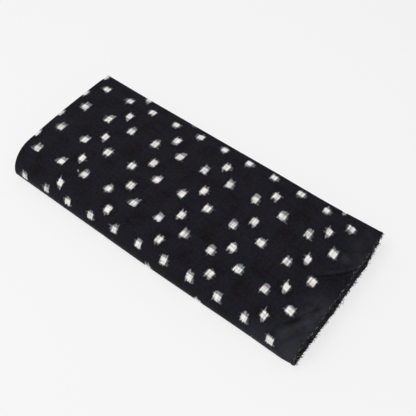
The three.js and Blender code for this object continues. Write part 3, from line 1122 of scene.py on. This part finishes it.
def tuft_lines():
    dice = random.Random(TUFT_SEED)
    end = middle_points[-1]
    lines = []
    for tuft in TUFTS:
        height = tuft["height"] * SELVAGE_END_HEIGHT
        near = np.argmin(np.hypot(end[:, 1] - tuft["y"], end[:, 2] - height))
        for _ in range(tuft["yarns"]):
            lean = dice.uniform(*TUFT_LEAN)
            rise = dice.uniform(*TUFT_RISE)
            reach = tuft["reach"] * dice.uniform(*TUFT_REACH)
            start = end[near] + (0, dice.uniform(*TUFT_WIDTH), 0)
            points = []
            for k in range(TUFT_STEPS + 1):
                share = k / TUFT_STEPS
                angle = lean + 2 * math.pi * tuft["turns"] * share * share
                step = reach * share
                turned = angle * share
                x, y, z = start + (step * math.cos(turned), step * math.sin(turned), step * rise)
                points.append((x, y, max(z, TUFT_LOWEST)))
            lines.append(np.array(points))
    return lines


def tuft_tree():
    tree, given = start_tree("tuft yarn", {"Thickness": 0.0009})
    line = add_node(tree, "GeometryNodeMeshToCurve", given["Geometry"])
    return finish_tree(tree, line, given["Thickness"], 5, yarn)


tufts = grow("selvage_tufts", tuft_lines(), tuft_tree())

# %% [markdown]
# ## Selvage yarn
#
# At a selvage the weft turns back round the last warps, so a ply ends in a thick, uneven cord and not in a
# cut. The dye misses some of its loops, which show as pale specks. The cord could be part of the sheet, but
# the sheet's lower layers have few points. So a tree runs a cord along each ply's edge and makes it uneven.

# %% The selvage's yarn
CORD_COTTON = {"Roughness": 0.95, "Specular IOR Level": 0.02}
# The cords' black is darker than the cloth's ground, as painted shade on the packet's selvage end
CORD_SHADED_BLACK = "#060508"
SPECK_CLUSTERS = 38.0  # per metre
CLUSTER_SHARE = 0.5
SPECK_EDGE = 0.06


def selvage_yarn(name, missed_from, speck_size, speck_colour):
    """Black cotton weft where it turns back at the selvage, with pale specks where the dye missed it."""
    material, tree, shader = new_material(name, CORD_COTTON)
    place = add_node(tree, "ShaderNodeTexCoord").outputs["Object"]
    specks = add_node(tree, NOISE, place, 1 / (speck_size * MM), 1.0)
    clusters = centred(tree, add_node(tree, NOISE, place, SPECK_CLUSTERS), CLUSTER_SHARE / 2)
    missed = add_node(tree, MATHS, specks, clusters, operation="ADD")
    missed = add_node(tree, RAMP, missed, missed_from, missed_from + SPECK_EDGE, **SOFT)
    dyed = lay_coats(tree, linear(CORD_SHADED_BLACK), (missed, linear(speck_colour)))
    tree.links.new(dyed.outputs["Result"], shader.inputs["Base Color"])
    return material


# %% The selvage's cords
CORD_WAVES = 170.0  # per metre
LOOSE_FROM = (0.54, 0.72)  # the few stretches where the wave passes these levels stand out
LOOSE_TO = (-0.25, 1.0)  # and the others draw in a little
SET_BACK = np.array([0.9, 0, 0])  # how far a cord's middle lies inside the ply's end


def cord_tree(material):
    """An uneven cord along each line."""
    tree, given = start_tree("selvage cord", {"Step": 0.0014, "Thickness": 0.0011, "Unevenness": 0.0026})
    line = add_node(tree, "GeometryNodeMeshToCurve", given["Geometry"])
    stepped = add_node(tree, "GeometryNodeResampleCurve", line,
                       mode="LENGTH", inputs={"Length": given["Step"]})
    noise = add_node(tree, NOISE, add_node(tree, "GeometryNodeInputPosition"), CORD_WAVES, 2.0)
    loose = add_node(tree, RAMP, noise, *LOOSE_FROM, *LOOSE_TO)
    rise = add_node(tree, "ShaderNodeSeparateXYZ", noise.outputs["Color"]).outputs[1]
    rise = add_node(tree, MATHS, rise, 0.5, operation="SUBTRACT")
    shift = add_node(tree, "ShaderNodeCombineXYZ", loose, 0.0, rise)
    shift = add_node(tree, VECTOR, shift, given["Unevenness"], operation="SCALE")
    moved = add_node(tree, "GeometryNodeSetPosition", stepped, inputs={"Offset": shift})
    kept = keep_above(tree, moved, product(tree, given["Thickness"], 0.5))
    return finish_tree(tree, kept, given["Thickness"], 5, material)


outer, inner = middle_points[-1] - SET_BACK, middle_points[0] - SET_BACK
lower_lines = [outer[:TOP_FIRST + 1], outer[TOP_LAST - 1:], inner]
top_yarn = selvage_yarn("top selvage yarn", missed_from=0.53, speck_size=3, speck_colour="#7e7e88")
lower_yarn = selvage_yarn("selvage yarn", missed_from=0.64, speck_size=4, speck_colour="#b4b4be")
top_line = outer[TOP_FIRST:TOP_LAST]
top_cord = grow("top_selvage", [top_line], cord_tree(top_yarn), Thickness=0.001, Unevenness=0.0014)
cords = grow("selvages", lower_lines, cord_tree(lower_yarn))

# %% [markdown]
# ## Floor and light
#
# The packet lies on a plain white table that is lit a little from below, as for a product picture, under
# soft light from all round and a broad lamp high up on the near side. So hardly any shadow shows.

# %% Floor and light
FLOOR_HALF = 6.0
FLOOR_DROP = 0.0002
PALE_FLOOR = {
    "Base Color": linear("#7a7a7a"),
    "Roughness": 0.9,
    "Specular IOR Level": 0.1,
    "Emission Color": linear("#ffffff"),
    "Emission Strength": 0.71,
}
SKY = {"Color": (0.99, 0.985, 1.0, 1.0), "Strength": 0.66}
LAMP = {"shape": "RECTANGLE", "size": 1.6, "size_y": 1.2, "energy": 26}
LAMP_PLACE = Vector((-0.3, -0.95, 2.1))


def make_floor():
    mesh = bpy.data.meshes.new("floor")
    corners = [(x * FLOOR_HALF, y * FLOOR_HALF, 0) for x, y in ((-1, -1), (1, -1), (1, 1), (-1, 1))]
    mesh.from_pydata(corners, [], [(0, 1, 2, 3)])
    mesh.materials.append(new_material("pale floor", PALE_FLOOR)[0])
    floor = add_object("floor", mesh)
    floor.location.z = -FLOOR_DROP
    return floor


def make_lights():
    world = bpy.data.worlds.new("studio")
    bpy.context.scene.world = world
    world.use_nodes = True
    for name, value in SKY.items():
        world.node_tree.nodes["Background"].inputs[name].default_value = value
    data = bpy.data.lights.new("overhead", "AREA")
    for name, value in LAMP.items():
        setattr(data, name, value)
    lamp = add_object("overhead", data)
    lamp.location = LAMP_PLACE
    lamp.rotation_euler = LAMP_PLACE.to_track_quat("Z", "Y").to_euler()
    bpy.context.scene.view_settings.view_transform = "Standard"
    return lamp


print("floor at", make_floor().location.z, "m and lamp at", make_lights().location.z, "m")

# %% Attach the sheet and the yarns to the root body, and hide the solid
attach(cloth, "root")
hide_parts("folded_cloth")
extras = [fuzz, ends, tufts, top_cord, cords]
for piece in extras:
    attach(piece, "root")
